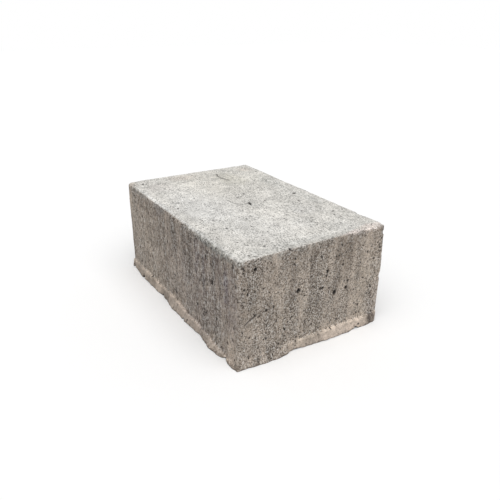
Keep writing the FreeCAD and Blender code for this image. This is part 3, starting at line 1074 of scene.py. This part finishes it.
def speckle(tree, shades, on_top, calm):
    """The speckle's shade: dragged, fine and gritty on the sides, only fine on top, and weaker
    on the lip and in wide runs."""
    at_end = spread(tree, sums(tree, "ABSOLUTE", read_mark(tree, "plain_x")), END_FROM, 1.0)
    fine = sums(tree, "MULTIPLY", shades["fine"], spread(tree, at_end, 0.0, 1.0, *FINE_SHADES))
    dragged = sums(tree, "MULTIPLY", shades["dragged"], spread(tree, at_end, 0.0, 1.0, *DRAG_SHADES))
    side = sums(tree, "ADD", fine, dragged)
    side = sums(tree, "MULTIPLY_ADD", shades["grit"], GRIT_SHADE, side)
    top = sums(tree, "MULTIPLY", shades["fine"], TOP_SHADE)
    shade = add(tree, "Mix", {0: on_top, 2: side, 3: top}).outputs[0]
    shade = sums(tree, "MULTIPLY", shade, calm)
    return sums(tree, "MULTIPLY", shade, sums(tree, "MULTIPLY_ADD", shades["wide_runs"], -RUN_CALM, 1.0))


def slow_patterns(tree, colour, shades, on_side):
    """Clouds and blotches over the whole block, and wide runs down its sides."""
    for name, amount in SLOW_PATTERNS.items():
        colour = lightened(tree, colour, shades[name], amount)
    runs = sums(tree, "MULTIPLY", shades["wide_runs"], on_side)
    return lightened(tree, colour, runs, WIDE_RUN_LIGHT)


def speckled(tree, colour, shade):
    """The colour darkened by the speckle's dark half, with pale sand in its pale half."""
    colour = lightened(tree, colour, sums(tree, "MINIMUM", shade, 0.0), 1.0)
    pale = sums(tree, "MULTIPLY", sums(tree, "MAXIMUM", shade, 0.0), PALE_SHARE)
    return tint(tree, pale, colour, PALE_GRAIN)


def marked(tree, colour, marks, on_side, calm):
    """The colour darkened inside each kind of small mark, and less so on the smooth lip. In the
    pits and dots, which are pinholes, the darkening is painted shade.
    """
    for name, (side, top) in MARK_DARKNESS.items():
        amount = sums(tree, "MULTIPLY_ADD", on_side, side - top, top)
        amount = sums(tree, "MULTIPLY", amount, calm)
        colour = lightened(tree, colour, sums(tree, "MULTIPLY", marks[name], amount), -1.0)
    return colour


def foot_shadow_and_hole_shade(tree, colour, place, shades, on_side):
    """A painted shadow along the foot, up to an uneven edge, and painted shade, near black, in
    the mesh's holes.
    """
    height = add(tree, "SeparateXYZ", {0: place}).outputs[2]
    height = sums(tree, "MULTIPLY_ADD", shades["clumps"], FOOT_RAGGED, height)
    # a painted shadow along the foot of the sides
    foot_shadow = sums(tree, "MULTIPLY", spread(tree, height, *FOOT_SHADOW_HEIGHTS, FOOT_SHADOW_SHARE, 0.0), on_side)
    colour = tint(tree, foot_shadow, colour, FOOT_SHADOW)
    # painted shade in the holes, cracks and bites, the deeper the darker
    hole_shade = sums(tree, "POWER", read_mark(tree, "hole_shade"), HOLE_SHADE_CURVE)
    return tint(tree, sums(tree, "MULTIPLY", hole_shade, HOLE_SHADE_SHARE), colour, HOLE_SHADE_COLOUR)


print("kinds of small mark:", len(MARK_DARKNESS))

# %% [markdown]
# ## Relief, and the whole material
#
# Everything larger than about a millimetre is in the mesh. The Bump node only adds the last
# fine roughness, which would cost far too many triangles: the grain's own height, the drag
# marks on the sides, and the hollows of the pinholes. Then the parts are put together, in the
# order in which they lie on the block.

# %% Put the material together
ROUGHNESS, ROUGHNESS_SPREAD = 0.90, 0.05
FINE_HEIGHT = 0.55                           # heights in mm, for a pattern's height of 1
DRAG_HEIGHT = 0.7
PIT_HEIGHT = -0.5
DOT_HEIGHT = -0.3


def relief(tree, heights, marks, on_side):
    """The height of the finest relief, in millimetres."""
    height = sums(tree, "MULTIPLY", heights["fine"], FINE_HEIGHT)
    drag = sums(tree, "MULTIPLY", on_side, DRAG_HEIGHT)
    height = sums(tree, "MULTIPLY_ADD", heights["dragged"], drag, height)
    height = sums(tree, "MULTIPLY_ADD", marks["pits"], PIT_HEIGHT, height)
    return sums(tree, "MULTIPLY_ADD", marks["dots"], DOT_HEIGHT, height)


def concrete():
    """Pale on top, warm and streaked on the sides, with speckle, pinholes and dark holes."""
    material = bpy.data.materials.new("concrete")
    material.use_nodes = True
    tree = material.node_tree
    shader = tree.nodes["Principled BSDF"]
    place, pushed, shaken = block_places(tree)
    shades, heights = grain_patterns(tree, place)
    marks = small_marks(tree, shaken, heights)
    on_top = top_share(tree, shades)
    on_side = sums(tree, "SUBTRACT", 1.0, on_top)
    patchy = patchiness(tree, shades)
    on_lip = read_mark(tree, "lip")
    calm = sums(tree, "MULTIPLY_ADD", on_lip, -LIP_CALM, 1.0)

    colour = base_colour(tree, shades, on_top)
    # the stains, and one painted pool of light on the +X face
    colour = lay_patches(tree, colour, pushed, STAINS_AND_LIGHT, patchy)
    colour = lay_patches(tree, colour, shaken, WRAPS, patchy)
    colour = lip_and_breaks(tree, colour, patchy, on_lip)
    # painted shade on two broken places at the +X, +Y arris
    colour = lay_patches(tree, colour, shaken, BREAK_SHADE, patchy)
    colour = slow_patterns(tree, colour, shades, on_side)
    colour = speckled(tree, colour, speckle(tree, shades, on_top, calm))
    colour = marked(tree, colour, marks, on_side, calm)
    colour = foot_shadow_and_hole_shade(tree, colour, place, shades, on_side)
    roughness = sums(tree, "MULTIPLY_ADD", shades["fine"], ROUGHNESS_SPREAD, ROUGHNESS)
    height = relief(tree, heights, marks, on_side)
    bump = add(tree, "Bump", {"Height": height, "Distance": MM, "Strength": 1.0})
    tree.links.new(colour, shader.inputs["Base Color"])
    tree.links.new(roughness, shader.inputs["Roughness"])
    tree.links.new(bump.outputs[0], shader.inputs["Normal"])
    return material


mesh.materials.clear()
mesh.materials.append(concrete())
print("concrete: %d nodes" % len(mesh.materials[0].node_tree.nodes))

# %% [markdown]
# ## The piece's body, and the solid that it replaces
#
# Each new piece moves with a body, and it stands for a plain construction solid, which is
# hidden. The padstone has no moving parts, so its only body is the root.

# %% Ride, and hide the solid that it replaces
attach(block, "root")
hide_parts("padstone")
print("cast_padstone rides on root")

# %% [markdown]
# ## Floor, light and camera
#
# The block is shown on a plain pale floor under soft light from above, as on an overcast
# day. A broad sun gives every part of the floor the same light, however large it is. The
# floor looks white to the camera, but to the light that bounces up from it, it is a middling
# grey, so the block's sides stay darker than its top.

# %% The floor, which keeps the block's shadow
FLOOR_SIZE = 12.0                            # metres
FLOOR_BOUNCE = 0.34                          # the floor's colour for bounced light
FLOOR_SEEN = 1.0                             # the floor's colour for the camera


def seen_rays(tree):
    """1 for rays that see the background: from the camera, in a reflection or through glass."""
    paths = add(tree, "LightPath").outputs
    total = paths["Is Camera Ray"]
    for ray in ("Is Glossy Ray", "Is Transmission Ray"):
        total = sums(tree, "MAXIMUM", total, paths[ray])
    return total


def floor_material():
    """A matt floor, near white where it is seen and grey where it only bounces light."""
    material = bpy.data.materials.new("floor")
    material.use_nodes = True
    tree = material.node_tree
    shader = tree.nodes["Principled BSDF"]
    shader.inputs["Roughness"].default_value = 1.0
    shader.inputs["Specular IOR Level"].default_value = 0.0
    bounced = (FLOOR_BOUNCE, FLOOR_BOUNCE, FLOOR_BOUNCE, 1)
    seen = (FLOOR_SEEN, FLOOR_SEEN, FLOOR_SEEN, 1)
    tree.links.new(tint(tree, seen_rays(tree), bounced, seen), shader.inputs["Base Color"])
    return material


half_floor = FLOOR_SIZE / 2
floor_corners = np.array([(-1, -1, 0), (1, -1, 0), (1, 1, 0), (-1, 1, 0)]) * half_floor
floor_mesh = bpy.data.meshes.new("floor")
floor_mesh.from_pydata(floor_corners.tolist(), [], [(0, 1, 2, 3)])
floor_mesh.materials.append(floor_material())
floor = bpy.data.objects.new("floor", floor_mesh)
bpy.context.scene.collection.objects.link(floor)
floor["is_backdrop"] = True
print("floor: %.0f m square" % FLOOR_SIZE)

# %% Soft light from above, and an even sky
SUN_STRENGTH = 2.2
SUN_WIDTH = 75.0                             # degrees across, so that shadows are soft
SUN_TILT = 24.0                              # degrees away from straight down
SUN_TURN = 62.0                              # where it stands, as a view's azimuth
SKY_STRENGTH = 0.38                          # for the light that it gives
SKY_SEEN = 1.0                               # for rays that see it, where 1 is white

sun_data = bpy.data.lights.new("sun", "SUN")
sun_data.energy = SUN_STRENGTH
sun_data.angle = math.radians(SUN_WIDTH)
sun = bpy.data.objects.new("sun", sun_data)
sun.rotation_euler = (math.radians(SUN_TILT), 0, math.radians(SUN_TURN))
bpy.context.scene.collection.objects.link(sun)

world = bpy.data.worlds.new("sky")
world.use_nodes = True
bpy.context.scene.world = world
sky_tree = world.node_tree
sky = sky_tree.nodes["Background"]
strength = add(sky_tree, "Mix", {0: seen_rays(sky_tree), 2: SKY_STRENGTH, 3: SKY_SEEN})
sky.inputs["Color"].default_value = (1, 1, 1, 1)
sky_tree.links.new(strength.outputs[0], sky.inputs["Strength"])
print("sun", SUN_STRENGTH, "sky", SKY_STRENGTH)

# %% The camera, level with a person crouching beside the block
AZIMUTH, ELEVATION, ROLL = 57.49, 24.43, 0.36      # degrees
DISTANCE = 0.7522                                  # metres, from the point it looks at
LOOKS_AT = np.array([7.0, 7.7, 66.2]) * MM
LENS = 37.2                                        # on a sensor 36 mm wide

turn, rise, roll = (math.radians(angle) for angle in (AZIMUTH, ELEVATION, ROLL))
level = math.cos(rise)
backwards = np.array([math.sin(turn) * level, -math.cos(turn) * level, math.sin(rise)])
camera_data = bpy.data.cameras.new("camera")
camera_data.lens = LENS
camera = bpy.data.objects.new("camera", camera_data)
pointed = Matrix.Rotation(turn, 4, "Z") @ Matrix.Rotation(math.pi / 2 - rise, 4, "X")
rolled = pointed @ Matrix.Rotation(roll, 4, "Z")
camera.matrix_world = Matrix.Translation(LOOKS_AT + DISTANCE * backwards) @ rolled
bpy.context.scene.collection.objects.link(camera)
bpy.context.scene.camera = camera
bpy.context.scene.view_settings.view_transform = "Standard"
print("camera at", [round(c, 3) for c in camera.location])

# %% Write both boxes and finish
size = {"cad": [list(corner) for corner in cad_box], "visual": [list(c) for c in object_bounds()]}
print(size)
